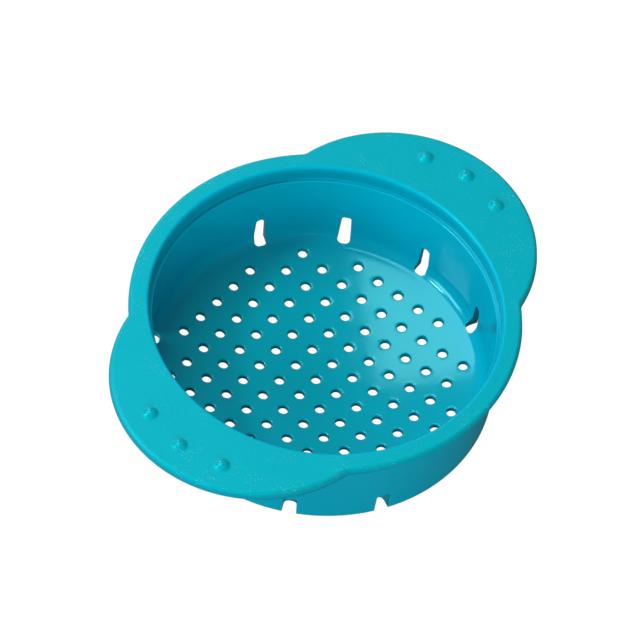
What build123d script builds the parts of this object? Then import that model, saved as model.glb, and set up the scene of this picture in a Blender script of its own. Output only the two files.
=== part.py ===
"""Flat-rimmed can strainer: one plastic moulding, in millimetres.

+Z is up, out of the mouth of the bowl.  +X runs along the two handles.
The origin is on the bowl's axis, at the lowest point of the dished floor.
"""
import os
from math import atan2, cos, hypot, radians, sin, sqrt, tan

from build123d import *

# ---- overall sizes ------------------------------------------------------
overall_length = 155.0      # tip to tip over the two handles
overall_height = 38.6       # floor's lowest point to the top of the rim
rim_diameter = 119.4        # the round rim, where it has no handle

# ---- floor --------------------------------------------------------------
floor_thickness = 1.6
floor_dish_radius = 217.8   # radius of the floor's upper face, a shallow dish
hole_diameter = 3.0
hole_pitch = 8.0            # square grid, along the handles and across them
hole_field_margin = 5.75    # from the outermost hole centres allowed to the wall's inner face
floor_corner_radius = 4.5   # inside corner between floor and wall

# ---- wall ---------------------------------------------------------------
base_diameter = 108.3       # outside of the wall at its lower edge
wall_thickness = 2.4        # at the foot
wall_draft_outside = 2.0    # degrees, the wall opens upwards
wall_draft_inside = 1.1

# ---- can seat, the step inside the mouth --------------------------------
seat_diameter = 107.2       # step wall, a true cylinder
seat_depth = 5.3            # rim top down to the ledge
seat_wall_thickness = 2.8   # wall round the step
seat_jog_height = 4.0       # height over which the outside steps out
ledge_edge_radius = 0.35
mouth_radius = 0.9          # rounding from the rim's top into the mouth

# ---- rim and handles ----------------------------------------------------
rim_thickness = 2.8         # of the handles
rim_middle_thickness = 1.6  # of the round rim, midway between the handles
rim_thinning_length = 18.0  # along X, from a handle's start to where the rim is thin
rim_top_radius = 1.2        # top outer edge of the rim and the handles
rim_under_radius = 0.3      # lower outer edge
handle_radius = 43.3        # arc of a handle's outer edge, seen from above
handle_blend_radius = 4.0   # inside corner where a handle leaves the rim

# ---- grip bumps, three on each handle -----------------------------------
bump_diameter = 5.4
bump_height = 1.1
bump_blend_radius = 0.8
bump_edge_distance = 8.7    # bump centre to the handle's outer edge
bump_spacing = 23.6         # degrees between bumps, about the handle's arc
bumps_per_handle = 3

# ---- drain slots in the foot of the wall --------------------------------
slot_angles = [0, 30, 60, 120, 150, 180, 210, 240, 300, 330]
slot_floor_reach = 2.4      # how far a slot runs into the floor from the wall
slot_foot_width_in = 3.6    # widths at the inner face and at the outer face,
slot_top_width_in = 2.9     # at the slot's foot and at its top
slot_foot_width_out = 4.5
slot_top_width_out = 4.1
slot_top_in = 11.0          # top of the slot above the wall's lower edge
slot_top_out = 7.9
slot_corner_radius = 1.1
notch_width = 4.0           # the part of a slot that lies in the floor
notch_end_radius = 1.5

# ---- helper sizes for cutting bodies ------------------------------------
overshoot = 1.0             # how far a cutting body runs past what it cuts
tiny = 0.001                # two places closer than this are the same place

# ---- values that follow from the sizes above ----------------------------
rim_radius = rim_diameter / 2
base_radius = base_diameter / 2
seat_radius = seat_diameter / 2
handle_underside = overall_height - rim_thickness
rim_underside = overall_height - rim_middle_thickness
ledge_height = overall_height - seat_depth
underside_radius = floor_dish_radius + floor_thickness
dish_centre_height = underside_radius
slope_outside = tan(radians(wall_draft_outside))
slope_inside = tan(radians(wall_draft_inside))
handle_centre = overall_length / 2 - handle_radius
handle_start = (rim_radius**2 - handle_radius**2 + handle_centre**2) / (2 * handle_centre)
seat_outside = seat_radius + seat_wall_thickness
wall_foot_inside = base_radius - wall_thickness
hole_field_radius = wall_foot_inside - hole_field_margin


def underside_height(radius):
    """Height of the floor's lower face at a distance from the axis."""
    return dish_centre_height - sqrt(underside_radius**2 - radius**2)


def floor_height(radius):
    """Height of the floor's upper face at a distance from the axis."""
    return dish_centre_height - sqrt(floor_dish_radius**2 - radius**2)


base_height = underside_height(wall_foot_inside)


def outer_radius(height):
    """Outside of the wall at a height above the origin."""
    return base_radius + (height - base_height) * slope_outside


def inner_radius(height):
    """Inside of the wall at a height above the origin."""
    return wall_foot_inside + (height - base_height) * slope_inside


def arc_through(radius, start, end):
    """An arc of the dish between two distances from the axis."""
    def point(distance):
        return (distance, 0, dish_centre_height - sqrt(radius**2 - distance**2))
    return ThreePointArc(point(start), point((start + end) / 2), point(end))


def make_bowl():
    """Floor, wall and step: one profile turned about the axis."""
    inner_foot = inner_radius(floor_height(wall_foot_inside))
    foot_height = floor_height(inner_foot)
    jog_foot = ledge_height - seat_jog_height
    under = arc_through(underside_radius, 0, wall_foot_inside)
    outline = Polyline(
        (wall_foot_inside, 0, base_height),
        (base_radius, 0, base_height),
        (outer_radius(jog_foot), 0, jog_foot),
        (seat_outside, 0, ledge_height),
        (seat_outside, 0, overall_height),
        (seat_radius, 0, overall_height),
        (seat_radius, 0, ledge_height),
        (inner_radius(ledge_height), 0, ledge_height),
        (inner_foot, 0, foot_height),
    )
    upper = arc_through(floor_dish_radius, inner_foot, 0)
    profile = make_face([under, outline, upper, Line(upper @ 1, under @ 0)])

    def corner(radius, height):
        return min(profile.vertices(), key=lambda v: hypot(v.X - radius, v.Z - height))

    profile = fillet(corner(seat_radius, overall_height), mouth_radius)
    profile = fillet(corner(inner_foot, foot_height), floor_corner_radius)
    profile = fillet(corner(inner_radius(ledge_height), ledge_height), ledge_edge_radius)
    return revolve(profile, Axis.Z, 360)


def make_rim_plan():
    """The rim and both handles seen from above, as one filled outline."""
    plan = Circle(rim_radius)
    for side in (-1, 1):
        plan += Pos(side * handle_centre, 0) * Circle(handle_radius)
    meeting = [v for v in plan.vertices() if abs(abs(v.X) - handle_start) < tiny]
    return fillet(meeting, handle_blend_radius)


def make_relief():
    """What is taken from under the round rim, which is thinner than the handles."""
    depth = rim_underside - handle_underside
    thin_end = handle_start - rim_thinning_length
    foot_end = thin_end + rim_thinning_length * (depth + overshoot) / depth
    section = make_face(Polyline((-foot_end, -overshoot), (-thin_end, depth),
                                 (thin_end, depth), (foot_end, -overshoot), close=True))
    upright = Plane(origin=(0, 0, handle_underside), x_dir=(1, 0, 0), z_dir=(0, -1, 0))
    return extrude(upright * section, rim_diameter, both=True)


def make_rim():
    """Rim and handles: one plate, flat on top, with its top edge rounded."""
    plate = extrude(Pos(0, 0, handle_underside) * make_rim_plan(), rim_thickness)
    top_edges = plate.edges().filter_by_position(Axis.Z, overall_height - tiny, overall_height + tiny)
    plate = fillet(top_edges, rim_top_radius)
    low_edges = plate.edges().filter_by_position(Axis.Z, handle_underside - tiny, handle_underside + tiny)
    plate = fillet(low_edges, rim_under_radius)
    return plate - make_relief() - Cylinder((seat_radius + seat_outside) / 2, overall_height * 3)


def make_bump():
    """One grip bump: a round cap that blends into the flat with a small radius."""
    foot = bump_diameter / 2
    reach = (foot**2 + bump_height**2) / (2 * bump_height)
    cap_radius = reach - bump_blend_radius
    cap_centre = bump_height - cap_radius
    share = cap_radius / reach
    meet = (share * foot, 0, cap_centre + share * (bump_blend_radius - cap_centre))
    half = atan2(meet[0], meet[2] - cap_centre) / 2
    crown = ThreePointArc((0, 0, bump_height),
                          (cap_radius * sin(half), 0, cap_centre + cap_radius * cos(half)), meet)
    turn = atan2(foot - meet[0], bump_blend_radius - meet[2]) / 2
    blend = ThreePointArc(meet, (foot - bump_blend_radius * sin(turn), 0,
                                 bump_blend_radius - bump_blend_radius * cos(turn)), (foot, 0, 0))
    sunk = rim_thickness / 2
    base = Polyline((foot, 0, 0), (foot, 0, -sunk), (0, 0, -sunk), (0, 0, bump_height))
    return revolve(make_face([crown, blend, base]), Axis.Z, 360)


def bump_places():
    """Centres of the bumps, on an arc that follows each handle's edge."""
    arc_radius = handle_radius - bump_edge_distance
    middle = (bumps_per_handle - 1) / 2
    places = []
    for side in (-1, 1):
        for number in range(bumps_per_handle):
            angle = radians((number - middle) * bump_spacing)
            places.append((side * (handle_centre + arc_radius * cos(angle)), arc_radius * sin(angle)))
    return places


def hole_places():
    """Centres of the floor's holes: a square grid inside a round field."""
    count = int(hole_field_radius // hole_pitch)
    steps = [number * hole_pitch for number in range(-count, count + 1)]
    return [(x, y) for x in steps for y in steps if hypot(x, y) <= hole_field_radius]


def slot_section(distance):
    """Outline of a slot in the upright plane at a distance from the axis."""
    share = (distance - wall_foot_inside) / (base_radius - wall_foot_inside)
    foot = slot_foot_width_in + share * (slot_foot_width_out - slot_foot_width_in)
    top = slot_top_width_in + share * (slot_top_width_out - slot_top_width_in)
    height = slot_top_in + share * (slot_top_out - slot_top_in)
    outline = Polyline((-foot / 2, -overshoot), (foot / 2, -overshoot),
                       (top / 2, height), (-top / 2, height), close=True)
    face = make_face(outline)
    face = fillet([v for v in face.vertices() if v.Y > 0], slot_corner_radius)
    return Plane(origin=(distance, 0, base_height), x_dir=(0, 1, 0), z_dir=(1, 0, 0)) * face


def make_slot():
    """What one slot removes: an opening in the wall and a notch in the floor."""
    start = wall_foot_inside - slot_floor_reach
    through = loft([slot_section(wall_foot_inside - overshoot), slot_section(base_radius + overshoot)], ruled=True)
    length = wall_foot_inside - start + overshoot
    notch = Pos(start + length / 2, 0) * RectangleRounded(length, notch_width, notch_end_radius)
    notch = extrude(Pos(0, 0, base_height - overall_height) * notch,
                    overall_height + floor_thickness + floor_corner_radius)
    keep_out = Cylinder(wall_foot_inside, overall_height * 3)
    return through + (notch & keep_out)


def make_strainer():
    """The whole moulding."""
    body = make_bowl() + make_rim()
    bump = make_bump()
    body += [Pos(x, y, overall_height) * bump for x, y in bump_places()]
    hole = Cylinder(hole_diameter / 2, overall_height)
    body -= [Pos(x, y) * hole for x, y in hole_places()]
    slot = make_slot()
    body -= [Rot(0, 0, angle) * slot for angle in slot_angles]
    return body


if __name__ == "__main__":
    os.makedirs("parts", exist_ok=True)
    strainer = make_strainer()
    strainer.label = "strainer_body"
    export_step(strainer, "parts/strainer_body.step")
    size = strainer.bounding_box().size
    print("strainer_body", round(size.X, 2), round(size.Y, 2), round(size.Z, 2), "mm,",
          len(strainer.solids()), "solid,", len(hole_places()), "holes")
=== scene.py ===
# %% [markdown]
# # A one-piece can strainer
#
# The object is a small plastic strainer that is pressed onto an opened food can, or laid over a
# bowl, to drain it. It comes out of its mould in one shot: floor, wall, stepped mouth, rim,
# handles and grip bumps are one skin of one plastic, so here they are one closed mesh.
#
# This first cell loads the fixed frame. The frame says how large the part is and where its
# origin lies: on the bowl's axis, at the floor's lowest point, with the handles along X.

import bmesh
import bpy
import numpy as np
from mathutils import Matrix, Vector
from mathutils.geometry import delaunay_2d_cdt


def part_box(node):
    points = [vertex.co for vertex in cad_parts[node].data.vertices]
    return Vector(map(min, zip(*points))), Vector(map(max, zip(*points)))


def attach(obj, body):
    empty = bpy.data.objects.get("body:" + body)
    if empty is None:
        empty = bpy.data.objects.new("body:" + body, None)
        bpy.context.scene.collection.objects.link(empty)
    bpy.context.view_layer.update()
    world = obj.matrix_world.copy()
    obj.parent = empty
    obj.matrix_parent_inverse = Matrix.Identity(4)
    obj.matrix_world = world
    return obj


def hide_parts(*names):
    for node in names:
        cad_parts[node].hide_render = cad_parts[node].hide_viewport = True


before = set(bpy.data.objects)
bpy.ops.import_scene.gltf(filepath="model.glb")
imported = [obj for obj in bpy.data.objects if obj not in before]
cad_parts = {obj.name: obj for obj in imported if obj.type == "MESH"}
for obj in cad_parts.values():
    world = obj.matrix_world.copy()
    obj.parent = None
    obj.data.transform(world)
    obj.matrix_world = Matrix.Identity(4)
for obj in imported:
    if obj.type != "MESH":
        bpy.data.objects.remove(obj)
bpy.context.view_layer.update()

MM = 0.001                               # one millimetre in metres, Blender's unit here
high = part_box("strainer_body")[1]        # the upper corner of the part's box
handle_tip = high.x / MM                 # from the axis to the tip of a handle
rim_radius = high.y / MM                 # the round rim, where it has no handle
bump_height = 1.1
rim_top = high.z / MM - bump_height      # the flat top of the rim and the handles
print(f"handle tip {handle_tip:.2f}, rim radius {rim_radius:.2f}, rim top {rim_top:.2f} mm")

# %% [markdown]
# ## The section through the wall
#
# A turned shape is easiest to think of as a path in the upright plane through its axis. The
# skin has two such paths. The inner one runs from the middle of the floor out to the wall, up
# to the ledge that a can's rim stops on, up the step and over the mouth. The outer one runs
# along the underside, round the foot and up the outside to the rim.
#
# A modeller could draw these as curves and give them a Bevel modifier, but a moulded part has
# a different radius at each corner. So each path is a short list of corners, each with its own
# radius, and one function rounds them.

# %% Sizes of the section, in millimetres
floor_thickness = 1.6
dish_radius = 217.8                      # the floor's upper face is part of a large sphere
floor_corner = 4.5                       # inside corner between floor and wall
wall_foot_inside = 51.75
wall_foot_outside = 54.15
slope_inside = np.tan(np.radians(1.1))   # the wall opens upwards, so that it leaves the mould
slope_outside = np.tan(np.radians(2.0))
foot_edge = 0.45                         # corners of the outer path, at the foot and the step
seat_radius = 53.6                       # step that takes the can's rim
seat_depth = 5.3
seat_outside = seat_radius + 2.8         # outer face of the wall round the step
ledge_edge = 0.35
seat_corner = 0.25
mouth_edge = 0.9                         # rounding where the step meets the rim's top
jog_height = 4.0                         # how far below the ledge the outer face turns outwards
rim_thickness = 2.8                      # of the handles
rim_middle_thickness = 1.6               # of the round rim, midway between the handles
rim_corner = 0.5                         # inside corner between the outer face and the rim
path_end = 1.0                           # straight end of a path, only there to round its corner

ledge = rim_top - seat_depth
rim_under = rim_top - rim_thickness
dish_centre = dish_radius + floor_thickness


def dish(sphere_radius, distance):
    """Height of the dished floor at a distance from the axis."""
    return dish_centre - np.sqrt(sphere_radius**2 - distance**2)


foot = dish(dish_centre, wall_foot_inside)
print(f"floor rises {foot:.2f} mm from its middle to the wall's foot")


# %% Round the corners of a path
def rounded(corners, arc_steps=8):
    """A path through corners of (distance, height, radius), with an arc at each corner that has one.

    Returns the path's points and, for each arc, the numbers of its first and last point."""
    points, arcs = [], []
    for number, (distance, height, radius) in enumerate(corners):
        here = np.array([distance, height])
        if radius == 0:
            points.append(here)
            continue
        back = np.array(corners[number - 1][:2]) - here
        ahead = np.array(corners[number + 1][:2]) - here
        back, ahead = back / np.linalg.norm(back), ahead / np.linalg.norm(ahead)
        half = np.arccos(np.clip(back @ ahead, -1, 1)) / 2
        middle = (back + ahead) / np.linalg.norm(back + ahead)
        centre = here + middle * radius / np.sin(half)
        first, last = here + back * radius / np.tan(half), here + ahead * radius / np.tan(half)
        start, turn = first - centre, np.pi - 2 * half
        side = np.sign(start[0] * (last - centre)[1] - start[1] * (last - centre)[0])
        arcs.append((len(points), len(points) + arc_steps))
        for step in range(arc_steps + 1):
            angle = side * turn * step / arc_steps
            spin = np.array([[np.cos(angle), -np.sin(angle)], [np.sin(angle), np.cos(angle)]])
            points.append(centre + spin @ start)
    return np.array(points), arcs


# %% [markdown]
# ## A turned surface, and its flat map
#
# Holes and slots are hard to cut into a grid of quads. A Boolean would do it, but it leaves long
# thin faces that spoil a glossy floor. Here the surface is first drawn flat: a point keeps its
# angle about the axis, and its distance on the map is the length of the path up to it. On that
# map a hole in the floor and a slot in the wall are both just closed outlines, so one flat
# triangulation can leave them all out. Then the map is bent back into the bowl.

# %% The turned surface
class Turned:
    """A path of (distance, height) points turned about the Z axis."""

    def __init__(self, path, outward):
        self.path = path
        steps = np.linalg.norm(np.diff(path, axis=0), axis=1)
        self.run = np.concatenate([[0], np.cumsum(steps)])
        self.outward = outward           # 1 where the floor's outside is its upper face, or -1

    def bend(self, flat):
        """Points of the flat map, in space."""
        run, angle = np.hypot(flat[:, 0], flat[:, 1]), np.arctan2(flat[:, 1], flat[:, 0])
        distance = np.interp(run, self.run, self.path[:, 0])
        height = np.interp(run, self.run, self.path[:, 1])
        return np.column_stack([distance * np.cos(angle), distance * np.sin(angle), height])

    def normal(self, flat):
        """Direction out of the skin at points of the flat map."""
        small = 0.02
        run = np.hypot(flat[:, 0], flat[:, 1])[:, None]
        along = self.bend(flat * (1 + small / run)) - self.bend(flat * (1 - small / run))
        around = np.column_stack([-flat[:, 1], flat[:, 0], np.zeros(len(flat))])
        normals = self.outward * np.cross(along, around)
        return normals / np.linalg.norm(normals, axis=1)[:, None]

    def run_at_distance(self, distance):
        """Length of the path up to a distance from the axis."""
        return np.interp(distance, self.path[:, 0], self.run)

    def on_floor(self, plan):
        """The flat map's points for points of the floor seen from above."""
        never_zero = 1e-9
        distance = np.maximum(np.hypot(plan[:, 0], plan[:, 1]), never_zero)
        return plan * (self.run_at_distance(distance) / distance)[:, None]


# %% The inner and the outer surface
floor_points = 60


def floor_run(sphere_radius, end):
    """Points along the dished floor, from its middle out to a distance."""
    distances = np.linspace(0, end, floor_points)
    return [(distance, dish(sphere_radius, distance), 0) for distance in distances]


corner_inside = wall_foot_inside + slope_inside * (dish(dish_radius, wall_foot_inside) - foot)
ledge_inside = wall_foot_inside + slope_inside * (ledge - foot)
jog_foot = ledge - jog_height
jog_outside = wall_foot_outside + slope_outside * (jog_foot - foot)
underside_end = wall_foot_inside - 1     # the last point of the dish before the foot

inner_path, inner_arcs = rounded(
    floor_run(dish_radius, corner_inside - floor_corner) + [
        (corner_inside, dish(dish_radius, corner_inside), floor_corner),
        (ledge_inside, ledge, ledge_edge),
        (seat_radius, ledge, seat_corner),
        (seat_radius, rim_top, mouth_edge),
        (seat_radius + mouth_edge + path_end, rim_top, 0),
    ])
outer_path, outer_arcs = rounded(
    floor_run(dish_centre, underside_end) + [
        (wall_foot_inside, foot, foot_edge),
        (wall_foot_outside, foot, foot_edge),
        (jog_outside, jog_foot, foot_edge),
        (seat_outside, ledge, foot_edge),
        (seat_outside, rim_under, rim_corner),
        (seat_outside + rim_corner + path_end, rim_under, 0),
    ])
inner = Turned(inner_path[:-1], outward=1)
outer = Turned(outer_path[:-1], outward=-1)
inner_corner = inner.run[list(inner_arcs[0])]
outer_corner = outer.run[list(outer_arcs[1])]
print(f"inner path {inner.run[-1]:.1f} mm, outer path {outer.run[-1]:.1f} mm")


# %% [markdown]
# ## One skin, built up ring by ring
#
# The mesh is kept as two plain lists while it grows. Rings with the same number of points are
# joined by quads. A patch that has openings in it is triangulated flat and then bent.

# %% The skin and its two ways of adding faces
class Skin:
    """Points and faces of one mesh, in millimetres."""

    def __init__(self):
        self.points, self.faces = [], []

    def ring(self, places):
        """Adds points and returns their numbers."""
        first = len(self.points)
        self.points.extend(np.asarray(places, float))
        return np.arange(first, len(self.points))

    def join(self, ring_a, ring_b):
        """Quads between two closed rings with the same number of points."""
        for a, b, c, d in zip(ring_a, np.roll(ring_a, -1), np.roll(ring_b, -1), ring_b):
            self.faces.append((a, b, c, d))

    def join_all(self, rings):
        """Quads between each ring of a list and the next."""
        for ring_a, ring_b in zip(rings, rings[1:]):
            self.join(ring_a, ring_b)

    def patch(self, border, openings, loose, bend):
        """Triangles inside a border and outside the openings, by way of the flat map.

        border and openings are (point numbers, flat places); loose is more flat places, which
        bend puts in space."""
        numbers = [border[0]] + [opening[0] for opening in openings] + [self.ring(bend(loose))]
        places = [border[1]] + [opening[1] for opening in openings] + [loose]
        owner = np.repeat(np.arange(len(places)), [len(part) for part in places])
        numbers, flat = np.concatenate(numbers), np.concatenate(places)
        edges, first = [], 0
        for part in places[:-1]:
            last = first + len(part)
            edges += [(i, i + 1 if i + 1 < last else first) for i in range(first, last)]
            first = last
        all_triangles, same_point = 0, 1e-7
        found = delaunay_2d_cdt([Vector(p) for p in flat], edges, [], all_triangles, same_point, True)
        source = np.array([ids[0] for ids in found[3]])
        triangles = source[np.array(found[2])]
        owners = owner[triangles]
        on_one_outline = (owners == owners[:, :1]).all(1)
        kept = np.ones(len(triangles), bool)
        for part, outline in enumerate(places[:-1]):
            tested = np.flatnonzero(on_one_outline & (owners[:, 0] == part))
            in_outline = holds(outline, flat[triangles[tested]].mean(1))
            kept[tested] = in_outline == (part == 0)
        self.faces += [tuple(triangle) for triangle in numbers[triangles[kept]]]


def holds(outline, places):
    """Which places lie inside a closed outline."""
    inside = np.zeros(len(places), bool)
    for (x0, y0), (x1, y1) in zip(outline, np.roll(outline, -1, axis=0)):
        if y0 == y1:
            continue
        between = (y0 > places[:, 1]) != (y1 > places[:, 1])
        inside ^= between & (places[:, 0] < (x1 - x0) * (places[:, 1] - y0) / (y1 - y0) + x0)
    return inside


def clear_of(places, outlines, margin):
    """The places that aren't in an outline or close to it."""
    for outline in outlines:
        middle = outline.mean(0)
        reach = np.linalg.norm(outline - middle, axis=1).max() + margin
        near = np.linalg.norm(places - middle, axis=1) < reach
        tested = places[near]
        gaps = np.linalg.norm(tested[:, None] - outline[None], axis=2).min(1)
        near[near] = (gaps < margin) | holds(outline, tested)
        places = places[~near]
    return places


def circle(radius, count):
    """Points on a circle about the origin, as a flat array."""
    angles = 2 * np.pi * np.arange(count) / count
    return radius * np.column_stack([np.cos(angles), np.sin(angles)])


# %% [markdown]
# ## Drain holes
#
# The floor has round holes on a square grid. Their upper edges are softly rounded, which is what
# catches the light, and their lower edges are nearly sharp. A hole is a stack of rings: over the
# rounded lip, down the wall, round the lower edge.

# %% Sizes of the holes
hole_radius = 1.5
hole_pitch = 8.0
hole_field = 46.0                        # hole centres lie within this distance of the axis
hole_lip = 0.48                          # rounding at the floor's upper face
hole_burr = 0.12                         # rounding at its lower face
hole_sides = 28
rows_each_way = 5

grid = hole_pitch * np.arange(-rows_each_way, rows_each_way + 1)
hole_centres = np.array([(x, y) for x in grid for y in grid if np.hypot(x, y) <= hole_field])
print(len(hole_centres), "drain holes")


# %% An opening is a pair of outlines joined through the wall
def lip_rings(skin, surface, edge_flat, opening_flat, radius, steps):
    """Rings over a rounded lip, from the edge of the flat face to the wall of the opening."""
    edge, opening = surface.bend(edge_flat), surface.bend(opening_flat)
    across = opening - edge
    across /= np.linalg.norm(across, axis=1)[:, None]
    normal = surface.normal(edge_flat)
    rings = [skin.ring(edge)]
    for step in range(1, steps + 1):
        angle = np.pi / 2 * step / steps
        shift = across * radius * np.sin(angle) - normal * radius * (1 - np.cos(angle))
        rings.append(skin.ring(edge + shift))
    return rings


def cut_opening(skin, above, below, lip, burr, lip_steps=4, burr_steps=2):
    """Joins an opening's outline in the inner surface to the one in the outer surface.

    above and below give the outline on their surface, grown by a distance. Returns the two
    borders that the patches need."""
    upper = lip_rings(skin, inner, above(lip), above(0), lip, lip_steps)
    lower = lip_rings(skin, outer, below(burr), below(0), burr, burr_steps)
    rings = upper + lower[::-1]
    skin.join_all(rings)
    return (rings[0], above(lip)), (rings[-1], below(burr))


skin = Skin()
inner_openings, outer_openings = [], []
for centre in hole_centres:
    def on(surface, centre=centre):
        return lambda grow: surface.on_floor(centre + circle(hole_radius + grow, hole_sides))
    upper, lower = cut_opening(skin, on(inner), on(outer), hole_lip, hole_burr)
    inner_openings.append(upper)
    outer_openings.append(lower)
print(len(skin.faces), "faces in the walls of the holes")

# %% [markdown]
# ## Drain slots
#
# Ten slots run from the edge of the floor up into the wall. They are wider outside than inside
# and lower outside than inside, so that the steel that makes them can be pulled out downwards.
# A slot's outline is a tapered strip with rounded ends that turns up round the floor's corner.

# %% Sizes of the slots
slot_angles = [0, 30, 60, 120, 150, 180, 210, 240, 300, 330]
slot_reach = 2.4                         # how far a slot runs into the floor
slot_notch = 2.0                         # half widths: in the floor, at the foot, at the top
slot_inside = (1.9, 1.45)
slot_outside = (2.2, 2.05)
slot_top_inside = 11.0                   # above the wall's foot
slot_top_outside = 7.9
notch_round = 1.5                        # corner radii of its end in the floor and of its top
slot_round = 1.1
slot_lip = 0.15                          # rounding all round it, inside and outside
bend_share = 0.4                         # earliest start of the close points round the bend
round_points = 6                         # points along each stretch of the outline
notch_points = 5
corner_points = 9
wall_points = 12


def slot_outline(surface, corner, top_height, half_widths, grow):
    """(run, sideways) points round a slot, grown by a distance."""
    start = surface.run_at_distance(wall_foot_inside - slot_reach)
    top = corner[1] + (top_height - np.interp(corner[1], surface.run, surface.path[:, 1]))
    turn = np.radians(np.linspace(0, 90, round_points))
    end_run = start + notch_round - (notch_round + grow) * np.cos(turn)
    end_side = slot_notch - notch_round + (notch_round + grow) * np.sin(turn)
    low_run, high_run = start + notch_round, top - slot_round
    turn_run = max(corner[0], low_run + bend_share * (corner[1] - low_run))
    side_run = np.concatenate([np.linspace(low_run, turn_run, notch_points)[1:-1],
                               np.linspace(turn_run, corner[1], corner_points),
                               np.linspace(corner[1], high_run, wall_points)[1:-1]])
    half = np.interp(side_run, [low_run, np.mean(corner), high_run], (slot_notch,) + half_widths)
    top_run = top - slot_round + (slot_round + grow) * np.sin(turn)
    top_side = half_widths[1] - slot_round + (slot_round + grow) * np.cos(turn)
    run = np.concatenate([[start - grow], end_run, side_run, top_run, [top + grow]])
    side = np.concatenate([[0], end_side, half + grow, top_side, [0]])
    return np.concatenate([run, run[-2:0:-1]]), np.concatenate([side, -side[-2:0:-1]])


def slot_flat(surface, corner, top_height, half_widths, angle):
    """The slot's outline on the flat map, as a function of how far it is grown."""
    def outline(grow):
        run, side = slot_outline(surface, corner, top_height, half_widths, grow)
        turned = np.radians(angle) + np.arcsin(side / np.interp(run, surface.run, surface.path[:, 0]))
        return np.column_stack([run * np.cos(turned), run * np.sin(turned)])
    return outline


for angle in slot_angles:
    upper, lower = cut_opening(
        skin,
        slot_flat(inner, inner_corner, foot + slot_top_inside, slot_inside, angle),
        slot_flat(outer, outer_corner, foot + slot_top_outside, slot_outside, angle),
        slot_lip, slot_lip, lip_steps=3)
    inner_openings.append(upper)
    outer_openings.append(lower)
print(len(slot_angles), "slots,", len(skin.faces), "faces so far")

# %% [markdown]
# ## The floor and the lower wall, inside and outside
#
# Each surface is one patch from the axis to a ring above the slots. Above that ring the wall has
# no openings, so it is plain rings, over the mouth inside and up to the rim outside.

# %% Lay the two patches
around = 384                             # points in a full ring of the wall
floor_grid = 1.25                        # spacing of the points that fill the floor
grid_margin = 1.5                        # how far the grid goes beyond the holes' field
wall_step = 1.1                          # greatest spacing of the rings
opening_gap = 0.35                       # filling points keep this far from an opening
ring_gap = 0.2                           # and plain rings this far from the patch
bent = 0.02                              # turn of the path, in radians, that counts as a bend
above_slots = 1.0                        # keeps the end of the patch clear of the slots


def stations(surface, first, last):
    """Runs at which rings are laid: close where the path turns, wider where it is straight."""
    runs = [first]
    turn = np.abs(np.diff(np.unwrap(np.arctan2(*np.diff(surface.path, axis=0).T))))
    bends = surface.run[1:-1][turn > bent]
    bends = bends[(bends > first) & (bends < last)]
    for begin, end in zip([first, *bends], [*bends, last]):
        pieces = max(1, int(np.ceil((end - begin) / wall_step)))
        runs += list(np.linspace(begin, end, pieces + 1)[1:])
    return np.array(runs)


def lay_bowl(surface, openings, top_run):
    """The patch with the openings, then plain rings up to the path's end. Returns the last ring."""
    field = hole_field + grid_margin
    steps = np.arange(-field, field + floor_grid, floor_grid)
    filling = np.array([(x, y) for x in steps for y in steps if np.hypot(x, y) < field])
    rings = stations(surface, field + floor_grid / 2, surface.run[-1])
    for run in rings[rings < top_run - wall_step / 2]:
        filling = np.concatenate([filling, circle(run, around)])
    filling = clear_of(filling, [flat for _, flat in openings], opening_gap)
    border_flat = circle(top_run, around)
    border = skin.ring(surface.bend(border_flat))
    skin.patch((border, border_flat), openings, filling, surface.bend)
    above = [border]
    for run in rings[rings > top_run + ring_gap]:
        above.append(skin.ring(surface.bend(circle(run, around))))
    skin.join_all(above)
    return above[-1]


slots_end = inner_corner[1] + slot_top_inside + above_slots
mouth_ring = lay_bowl(inner, inner_openings, slots_end)
outer_first = len(skin.points)
under_ring = lay_bowl(outer, outer_openings, slots_end)
outer_last = len(skin.points)
print(len(skin.faces), "faces with the bowl")

# %% [markdown]
# ## Rim and handles
#
# Seen from above, the rim is a circle and each handle is part of a larger circle that runs into
# it with a small inside radius. All of these are arcs, so an outline that lies a little further
# in keeps the same centres and only its radii change. That is how the edge is rounded: each ring
# of the edge is the same outline, set in by a little more.
#
# The top is flat all over, but the rim is thick only where a hand pulls on it. Between the
# handles its underside rises in a smooth curve, and the upper end of the outer wall is stretched
# up to meet it. Low on the edge is a ridge that stands out by less than a fifth of a millimetre,
# where the two halves of the mould meet.

# %% Sizes of the rim
handle_radius = 43.3
handle_blend = 4.0                       # inside radius between a handle and the rim
edge_round = 1.2                         # upper edge
edge_break = 0.25                        # lower edge
parting_step = 0.18                      # ridge where the two halves of the mould meet
parting_height = 0.30                    # from the underside to the ridge
ridge_edge = 0.05                        # height over which the ridge's upper and lower side turn
ridge_corner = 0.02
ridge_foot = 0.03
handle_points = 60                       # points along each arc of a quarter of the outline
blend_points = 8
rim_points = 46
handle_centre = handle_tip - handle_radius
# centre of the small inside radius, which touches the rim's circle and the handle's
blend_x = ((rim_radius + handle_blend)**2 - (handle_radius + handle_blend)**2
           + handle_centre**2) / (2 * handle_centre)
blend_y = np.sqrt((rim_radius + handle_blend)**2 - blend_x**2)


def arc(centre_x, centre_y, radius, start, end, count):
    """Points along an arc, without its last one."""
    angles = np.linspace(start, end, count, endpoint=False)
    return np.column_stack([centre_x + radius * np.cos(angles), centre_y + radius * np.sin(angles)])


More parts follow.
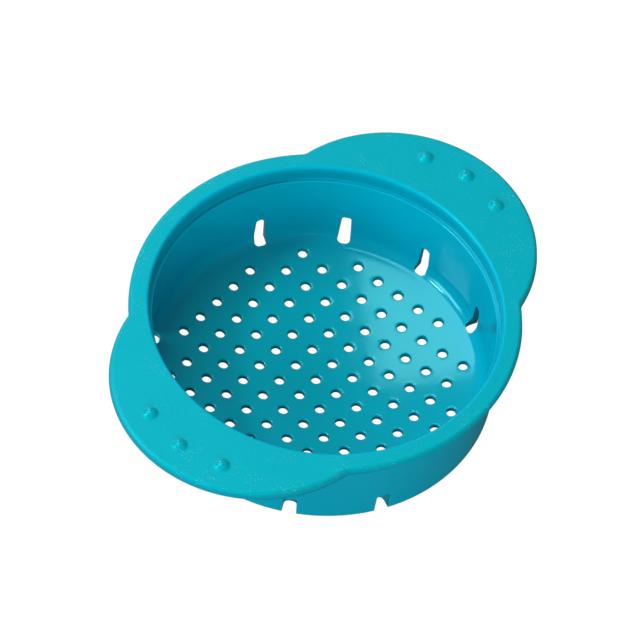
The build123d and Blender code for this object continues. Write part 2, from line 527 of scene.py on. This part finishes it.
def rim_outline(inset):
    """The rim and both handles seen from above, as one closed outline, set in by a distance."""
    rim_turn = np.arctan2(blend_y, blend_x)
    handle_turn = np.arctan2(blend_y, blend_x - handle_centre)
    quarter = np.concatenate([
        arc(handle_centre, 0, handle_radius - inset, 0, handle_turn, handle_points),
        arc(blend_x, blend_y, handle_blend + inset, handle_turn + np.pi, rim_turn + np.pi,
            blend_points),
        arc(0, 0, rim_radius - inset, rim_turn, np.pi / 2, rim_points),
        [(0, rim_radius - inset)],
    ])
    half = np.concatenate([quarter, (quarter * [-1, 1])[-2::-1]])
    return np.concatenate([half, (half * [1, -1])[-2:0:-1]])


# %% The thinner stretch between the handles
thinning_length = 18.0                   # along X, from a handle's start to where the rim is thin
# where the rim's circle and the handle's cross
handle_start = (rim_radius**2 - handle_radius**2 + handle_centre**2) / (2 * handle_centre)


def rise(x):
    """How far the underside lies above its height under the handles."""
    share = np.clip((handle_start - np.abs(x)) / thinning_length, 0, 1)
    return (rim_thickness - rim_middle_thickness) * share**2 * (3 - 2 * share)


def raise_wall(first, last):
    """Stretches the top of the outer wall up to the underside, between two point numbers."""
    for number in range(first, last):
        x, y, height = skin.points[number]
        share = np.clip((height - ledge) / (rim_under - ledge), 0, 1)
        skin.points[number] = (x, y, height + share * rise(x))


raise_wall(outer_first, outer_last)
print(f"the underside rises {rise(0):.1f} mm between x = -{handle_start:.1f} and {handle_start:.1f} mm")

# %% Rings round the edge, from the top face down to the underside
edge_steps = 8
break_steps = 3
ridge = rim_under + parting_height
edge_rings = []
for step in range(edge_steps + 1):
    angle = np.pi / 2 * step / edge_steps
    inset = parting_step + edge_round * (1 - np.sin(angle))
    edge_rings.append((inset, rim_top - edge_round * (1 - np.cos(angle))))
edge_rings += [
    (parting_step, ridge + ridge_edge),
    (parting_step - ridge_corner, ridge),
    (ridge_foot, ridge - ridge_corner),
    (0, ridge - ridge_edge),
]
for step in range(1, break_steps + 1):
    angle = np.pi / 2 * step / break_steps
    inset = edge_break * (1 - np.cos(angle))
    edge_rings.append((inset, rim_under + edge_break * (1 - np.sin(angle))))
edge = []
for number, (inset, height) in enumerate(edge_rings):
    outline = rim_outline(inset)
    heights = height + rise(outline[:, 0]) * (number > edge_steps)
    edge.append(skin.ring(np.column_stack([outline, heights])))
skin.join_all(edge)
print(len(rim_outline(0)), "points round the rim,", len(edge), "rings over its edge")

# %% [markdown]
# ## Grip bumps
#
# Three round bumps on each handle keep wet fingers from slipping. Each one is a cap that runs
# into the flat with a small radius, on an arc that follows the handle's edge.

# %% Sizes and places of the bumps
bump_radius = 2.7
bump_blend = 0.8                         # inside radius round its foot
bump_from_edge = 8.7                     # from its middle to the handle's edge
bump_spacing = np.radians(23.6)
bump_sides = 40
foot_rings = 6                           # rings up the foot and over the cap
cap_rings = 9

ball = (bump_radius**2 + bump_height**2) / (2 * bump_height) - bump_blend
bump_meets = bump_radius * ball / (ball + bump_blend)


def bump_rise(distance):
    """Height of a bump above the flat at a distance from its middle."""
    if distance < bump_meets:
        return bump_height - ball + np.sqrt(ball**2 - distance**2)
    return bump_blend - np.sqrt(bump_blend**2 - (bump_radius - distance)**2)


bump_centres = []
for side in (-1, 1):
    for number in (-1, 0, 1):
        reach, turn = handle_radius - bump_from_edge, number * bump_spacing
        bump_centres.append((side * (handle_centre + reach * np.cos(turn)), reach * np.sin(turn)))

# %% Raise the bumps
bump_distances = np.concatenate([np.linspace(bump_radius, bump_meets, foot_rings),
                                 np.linspace(bump_meets, 0, cap_rings)[1:-1]])
bump_borders = []
for centre in bump_centres:
    rings = []
    for distance in bump_distances:
        flat = centre + circle(distance, bump_sides)
        heights = np.full(bump_sides, rim_top + bump_rise(distance))
        rings.append(skin.ring(np.column_stack([flat, heights])))
    skin.join_all(rings)
    crown = skin.ring([(*centre, rim_top + bump_height)])[0]
    skin.faces += [(a, b, crown) for a, b in zip(rings[-1], np.roll(rings[-1], -1))]
    bump_borders.append((rings[0], centre + circle(bump_radius, bump_sides)))
print(len(bump_centres), "bumps")


# %% Close the flat faces of the rim
def on_rim(flat):
    """Puts flat places on top of the rim."""
    return np.column_stack([flat, np.full(len(flat), rim_top)])


def under_rim(flat):
    """Puts flat places on the underside of the rim."""
    return np.column_stack([flat, rim_under + rise(flat[:, 0])])


def lay_flat(border_ring, inset, hole_ring, hole_distance, borders, bend, spacing=2.2):
    """The flat between the bowl and the rim's edge."""
    outline, opening = rim_outline(inset), circle(hole_distance, around)
    xs = np.arange(-handle_tip, handle_tip, spacing)
    filling = np.array([(x, y) for x in xs for y in xs])
    filling = filling[holds(outline, filling)]
    filling = clear_of(filling, [outline, opening] + [flat for _, flat in borders], spacing / 2)
    skin.patch((border_ring, outline), [(hole_ring, opening)] + borders, filling, bend)


lay_flat(edge[0], edge_rings[0][0], mouth_ring, inner.path[-1, 0], bump_borders, on_rim)
lay_flat(edge[-1], edge_break, under_ring, outer.path[-1, 0], [], under_rim)
print(len(skin.points), "points,", len(skin.faces), "faces")

# %% [markdown]
# ## From lists to a mesh
#
# The lists become one mesh in metres. Its faces are turned to point outwards, and the shading
# normals are weighted by face area, so that the large faces beside a small rounded edge stay
# perfectly smooth and the edge alone carries the highlight.

# %% Make the piece
def make_piece(name, skin):
    """Turns a skin into a smooth object in the scene."""
    mesh = bpy.data.meshes.new(name)
    places = np.array(skin.points) * MM
    mesh.from_pydata(places.tolist(), [], [tuple(int(i) for i in face) for face in skin.faces])
    shape = bmesh.new()
    shape.from_mesh(mesh)
    bmesh.ops.recalc_face_normals(shape, faces=shape.faces)
    open_edges = sum(not edge.is_manifold for edge in shape.edges)
    loose_points = sum(not vertex.link_faces for vertex in shape.verts)
    volume = shape.calc_volume(signed=True) / MM**3
    for face in shape.faces:
        face.smooth = True
    shape.to_mesh(mesh)
    shape.free()
    piece = bpy.data.objects.new(name, mesh)
    bpy.context.scene.collection.objects.link(piece)
    print(f"{name}: {open_edges} open edges, {loose_points} loose points, {volume:.0f} cubic mm")
    return piece


strainer = make_piece("strainer", skin)
strainer.modifiers.new("area weighted normals", "WEIGHTED_NORMAL")
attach(strainer, "root")
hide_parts("strainer_body")

# %% [markdown]
# ## Shader maths in plain Python
#
# A node tree is hard to read as a picture, and harder as a list of links. This small class
# wraps one output socket, so that an ordinary expression such as `1 - mask * 0.3` adds the Math
# nodes it needs. Every other node comes from one method, which takes the node's type, its
# settings and the values or links of its inputs.

# %% The wrapper and the node method
class Wire:
    """One output socket. Arithmetic on it adds Math nodes."""

    def __init__(self, finish, socket):
        self.finish, self.socket = finish, socket

    def math(self, operation, *values):
        """A Math node on two values or sockets."""
        return self.finish.node("ShaderNodeMath", {"operation": operation}, values)

    def __add__(self, other):
        return self.math("ADD", self, other)

    def __radd__(self, other):
        return self.math("ADD", other, self)

    def __sub__(self, other):
        return self.math("SUBTRACT", self, other)

    def __rsub__(self, other):
        return self.math("SUBTRACT", other, self)

    def __mul__(self, other):
        return self.math("MULTIPLY", self, other)

    def __rmul__(self, other):
        return self.math("MULTIPLY", other, self)

    def __pow__(self, other):
        return self.math("POWER", self, other)

    def step(self, start, end):
        """0 before start, 1 after end, and a smooth turn between them."""
        settings = {"interpolation_type": "SMOOTHSTEP"}
        return self.finish.node("ShaderNodeMapRange", settings,
                                {"Value": self, "From Min": start, "From Max": end})


class Finish:
    """A material and its node tree."""

    def __init__(self, name):
        self.material = bpy.data.materials.new(name)
        self.material.use_nodes = True
        self.tree = self.material.node_tree
        self.tree.nodes.clear()

    def node(self, kind, settings=None, values=(), output=0):
        """Adds a node, sets its settings, then its inputs, and returns one of its outputs."""
        node = self.tree.nodes.new(kind)
        for name, value in (settings or {}).items():
            setattr(node, name, value)
        pairs = values.items() if isinstance(values, dict) else enumerate(values)
        for name, value in pairs:
            if isinstance(value, Wire):
                self.tree.links.new(value.socket, node.inputs[name])
            else:
                node.inputs[name].default_value = value
        return Wire(self, node.outputs[output]) if node.outputs else None

    def mix(self, share, one, other):
        """A colour between two colours. The Mix node keeps its colour inputs at 6 and 7."""
        inputs = {0: share, 6: one, 7: other}
        return self.node("ShaderNodeMix", {"data_type": "RGBA"}, inputs, output=2)

    def noise(self, place, size, detail=2.0, roughness=0.5):
        """Noise between 0 and 1, with lumps about as wide as size in millimetres."""
        return self.node("ShaderNodeTexNoise", None, {
            "Vector": place, "Scale": 1 / (size * MM), "Detail": detail, "Roughness": roughness})

    def done(self, surface):
        """Adds the output and returns the material."""
        self.node("ShaderNodeOutputMaterial", None, {"Surface": surface})
        return self.material


# %% [markdown]
# ## Teal plastic with three surfaces
#
# The strainer is one colour right through, but its mould was not finished alike all over. The
# bowl was polished, so its floor and wall are glossy and show soft reflections. The top of the
# rim and the handles was spark-eroded, which gives the plastic a fine grain that hides
# fingerprints; the little sparkle of that grain is painted glints, pale spots in the colour. The
# outside lies between the two. The tops of the grip bumps are nearly as smooth as the bowl.
#
# The pigment is the same everywhere. Shade is painted into it: the bowl's walls get a deeper teal
# than the floor and the rim, as they look in the bowl's shade, and the narrow step inside the
# mouth is painted darkest. Large soft clouds, the grain and a few smears keep the surface from
# looking drawn.
#
# The finish is chosen by where a point lies, with masks that are made from its height and its
# distance from the axis, so that no image is needed and the masks follow the frame's sizes.

# %% Masks for the three surfaces and for the painted shade
teal = (0.0, 0.355, 0.44, 1.0)
# painted shade: the walls' deeper teal stands for the bowl's shade on them
shaded_wall_teal = (0.0, 0.37, 0.52, 1.0)       # of the walls
rim_heights = (rim_top - 1.6, rim_top - 0.9)                 # the grain begins between these
rim_distances = (seat_radius + 0.9, seat_radius + 1.5)
outside_distances = (wall_foot_outside - 1.0, wall_foot_outside - 0.4)
bump_heights = (rim_top + 0.2, rim_top + 0.5)
wall_distances = (hole_field - 4, hole_field + 5)            # the deeper teal comes in slowly
# painted shade on the narrow step inside the mouth, between these heights
step_shade_heights = (ledge - 0.1, ledge + 0.5)
mouth_heights = (rim_top - 3.0, rim_top - 0.6)               # the step's shade fades out
floor_share = 0.2                                            # deeper teal in the floor

plastic = Finish("teal_plastic")
place = plastic.node("ShaderNodeTexCoord", output="Object")
across = plastic.node("ShaderNodeSeparateXYZ", None, [place], output="X")
along = plastic.node("ShaderNodeSeparateXYZ", None, [place], output="Y")
height = plastic.node("ShaderNodeSeparateXYZ", None, [place], output="Z") * (1 / MM)
distance = (across * across + along * along) ** 0.5 * (1 / MM)

on_top = height.step(*rim_heights) * distance.step(*rim_distances)
outside_wall = distance.step(*outside_distances) * (1 - on_top)
bowl = 1 - on_top - outside_wall
bump_tops = height.step(*bump_heights)
# painted shade: the deeper teal on the walls, with a fifth of it on the floor
painted_wall_shade = (1 - on_top) * (floor_share + (1 - floor_share) * distance.step(*wall_distances))
# painted shade: the step inside the mouth
painted_step_shade_mask = height.step(*step_shade_heights) * (1 - height.step(*mouth_heights))
print("masks use", len(plastic.tree.nodes), "nodes")

# %% Noises, with the size of their lumps in millimetres
# painted glints: pale spots on the grained top, where the noise peaks
glint_peaks = (0.66, 0.80)             # only the noise's highest peaks sparkle

grain = plastic.noise(place, 0.30, detail=1.0)
painted_glint_spots = plastic.noise(place, 0.42, detail=0.0).step(*glint_peaks) * on_top
peel = plastic.noise(place, 5.0, detail=2.0)
cloud = plastic.noise(place, 22.0, detail=3.0)
smears = plastic.noise(place, 9.0, detail=5.0, roughness=0.65)
print("with the noises", len(plastic.tree.nodes), "nodes")

# %% Colour, gloss and relief
black = (0.0, 0.0, 0.0, 1.0)
# colour of the painted glints
painted_glint_colour = (0.45, 0.85, 0.90, 1.0)
least_shade = 0.93                       # brightness: what clouds, grain and the step change
cloud_shade = 0.10
grain_shade = 0.05
# painted shade: how much the step inside the mouth is darkened
painted_step_shade = 0.22
# painted glints: faint, and clearer in patches
glint_faint = 0.04                     # sparkles are clearer in patches than elsewhere
glint_clear = 0.22
glint_patches = (0.50, 0.68)
bowl_rough = 0.11
rim_rough = 0.42
outside_rough = 0.32
bump_smooth = 0.27                       # taken off the rim's roughness on a bump
smear_rough = 0.08
grain_rough = 0.05
rim_grain = 0.015                        # relief, in millimetres
outside_grain = 0.0015
bowl_peel = 0.010                        # slow waves, as on orange peel

cloudy = least_shade + cloud_shade * cloud + grain_shade * (grain - 0.5) * on_top
# random tone from clouds and grain, times the painted shade on the step
tone_and_painted_shade = cloudy * (1 - painted_step_shade * painted_step_shade_mask)
# painted shade: the walls are mixed towards the deeper teal
colour = plastic.mix(tone_and_painted_shade, black, plastic.mix(painted_wall_shade, teal, shaded_wall_teal))
# painted glints: pale spots mixed into the colour
painted_glints = painted_glint_spots * (glint_faint + glint_clear * smears.step(*glint_patches))
colour = plastic.mix(painted_glints, colour, painted_glint_colour)
roughness = (bowl_rough * bowl + rim_rough * on_top + outside_rough * outside_wall
             - bump_smooth * bump_tops
             + smear_rough * (smears - 0.5) + grain_rough * (grain - 0.5) * on_top)
relief = (grain * (rim_grain * on_top * (1 - bump_tops) + outside_grain * outside_wall)
          + peel * bowl_peel * (1 - on_top))
surface = plastic.node("ShaderNodeBump", None, {"Strength": 1.0, "Distance": MM, "Height": relief})
print("with the looks", len(plastic.tree.nodes), "nodes")


# %% The plastic, polished and textured
def moulded(tint):
    """The plastic, with a colour for what it mirrors head on."""
    return plastic.node("ShaderNodeBsdfPrincipled", None, {
        "Base Color": colour, "Roughness": roughness, "Normal": surface,
        "IOR": 1.49, "Specular Tint": tint})


polished = moulded((0.25, 0.95, 1.0, 1.0))
textured = moulded((0.02, 0.95, 1.0, 1.0))
shader = plastic.node("ShaderNodeMixShader", None, [1 - bowl, polished, textured])
strainer.data.materials.append(plastic.done(shader))
print("plastic has", len(plastic.tree.nodes), "nodes")

# %% [markdown]
# ## Camera
#
# A long lens from a metre and a half away, as in a studio, so that near and far holes are
# nearly the same size. The camera looks down at the bowl from beside the left handle and is
# tilted by a few degrees.

# %% Place the camera
camera_azimuth = np.radians(-57.26)      # about Z, from the -Y side
camera_elevation = np.radians(53.10)
camera_tilt = np.radians(8.06)
camera_distance = 1.5452
camera_lens = 284.85
look_at = Vector((11.78, 10.23, 12.40)) * MM

back = Vector((np.sin(camera_azimuth) * np.cos(camera_elevation),
               -np.cos(camera_azimuth) * np.cos(camera_elevation), np.sin(camera_elevation)))
level_right = Vector((0, 0, 1)).cross(back).normalized()
level_up = back.cross(level_right)
right = level_right * np.cos(camera_tilt) + level_up * np.sin(camera_tilt)
up = back.cross(right)
camera = bpy.data.objects.new("camera", bpy.data.cameras.new("camera"))
camera.matrix_world = Matrix.Translation(look_at + back * camera_distance) @ Matrix(
    (right, up, back)).transposed().to_4x4()
camera.data.lens = camera_lens
bpy.context.scene.collection.objects.link(camera)
bpy.context.scene.camera = camera
print(f"camera {camera_distance:.2f} m from the bowl, {camera_lens:.0f} mm lens")

# %% [markdown]
# ## Light
#
# Six soft lamps, as in a small studio. A large softbox high behind the bowl does the most: it
# lights the rim and the floor, and the polished floor mirrors it on one side. A small key lamp
# adds to both. A wide side lamp lower down lights the inner wall across from it, and a small back
# lamp gives the grained rim a faint sheen. A fill lamp below the camera and a near lamp lower
# still light the outer wall that faces the camera and the inner wall across from it. Those two
# are kept out of mirror images, where they would draw a line along the wall's foot. The
# surroundings add a dim even light, so that nothing is black.

# %% Lamps
def lamp(name, direction, distance, width, power, turn=0):
    """A square lamp in a direction from the bowl, facing it, turned by some degrees."""
    data = bpy.data.lights.new(name, "AREA")
    data.shape = "RECTANGLE"
    data.size, data.size_y, data.energy = width, width, power
    obj = bpy.data.objects.new(name, data)
    direction = Vector(direction).normalized()
    obj.location = direction * distance
    facing = direction.to_track_quat("Z", "Y").to_matrix() @ Matrix.Rotation(np.radians(turn), 3, "Z")
    obj.rotation_euler = facing.to_euler()
    bpy.context.scene.collection.objects.link(obj)
    return obj


lamp("key lamp", (-0.464, 0.466, 0.754), 1.3, 0.14, 3.8)
lamp("side lamp", (-0.65, 0.62, 0.45), 1.3, 0.50, 7.0)
lamp("back lamp", (0.554, 0.706, 0.441), 1.3, 0.24, 1.8)
lamp("overhead softbox", (0.080, 0.436, 0.896), 1.3, 0.70, 8, turn=58)
fill = lamp("fill lamp", (-0.70, -0.60, 0.36), 1.5, 0.80, 10)
fill.visible_glossy = False
near = lamp("near lamp", (-0.72, -0.66, 0.20), 1.3, 0.50, 4.0)
near.visible_glossy = False

surroundings = bpy.data.worlds.new("surroundings")
surroundings.use_nodes = True
background = surroundings.node_tree.nodes["Background"]
background.inputs["Color"].default_value = (1.0, 1.0, 1.0, 1.0)
background.inputs["Strength"].default_value = 0.20
bpy.context.scene.world = surroundings
bpy.context.scene.view_settings.view_transform = "Standard"
print(len(bpy.data.lights), "lamps")

# %% [markdown]
# ## Floor
#
# A plain pale table, bright enough to burn out to white around the object and through its
# holes, as on a light table.

# %% The table
floor_mesh = bpy.data.meshes.new("table")
floor_half = 4.0                         # metres
floor_corners = [(-floor_half, -floor_half, 0), (floor_half, -floor_half, 0),
                 (floor_half, floor_half, 0), (-floor_half, floor_half, 0)]
floor_mesh.from_pydata(floor_corners, [], [(0, 1, 2, 3)])
table = bpy.data.objects.new("table", floor_mesh)
bpy.context.scene.collection.objects.link(table)
table_finish = Finish("table_white")
seen = table_finish.node("ShaderNodeLightPath", output="Is Camera Ray")
matt = table_finish.node("ShaderNodeBsdfDiffuse", None, {"Color": (0.2, 0.2, 0.2, 1.0)})
bright = table_finish.node("ShaderNodeEmission", None, {
    "Color": (1.0, 1.0, 1.0, 1.0), "Strength": 1.02})
table.data.materials.append(table_finish.done(
    table_finish.node("ShaderNodeMixShader", None, [seen, matt, bright])))
print(f"table {2 * floor_half:.0f} m wide")
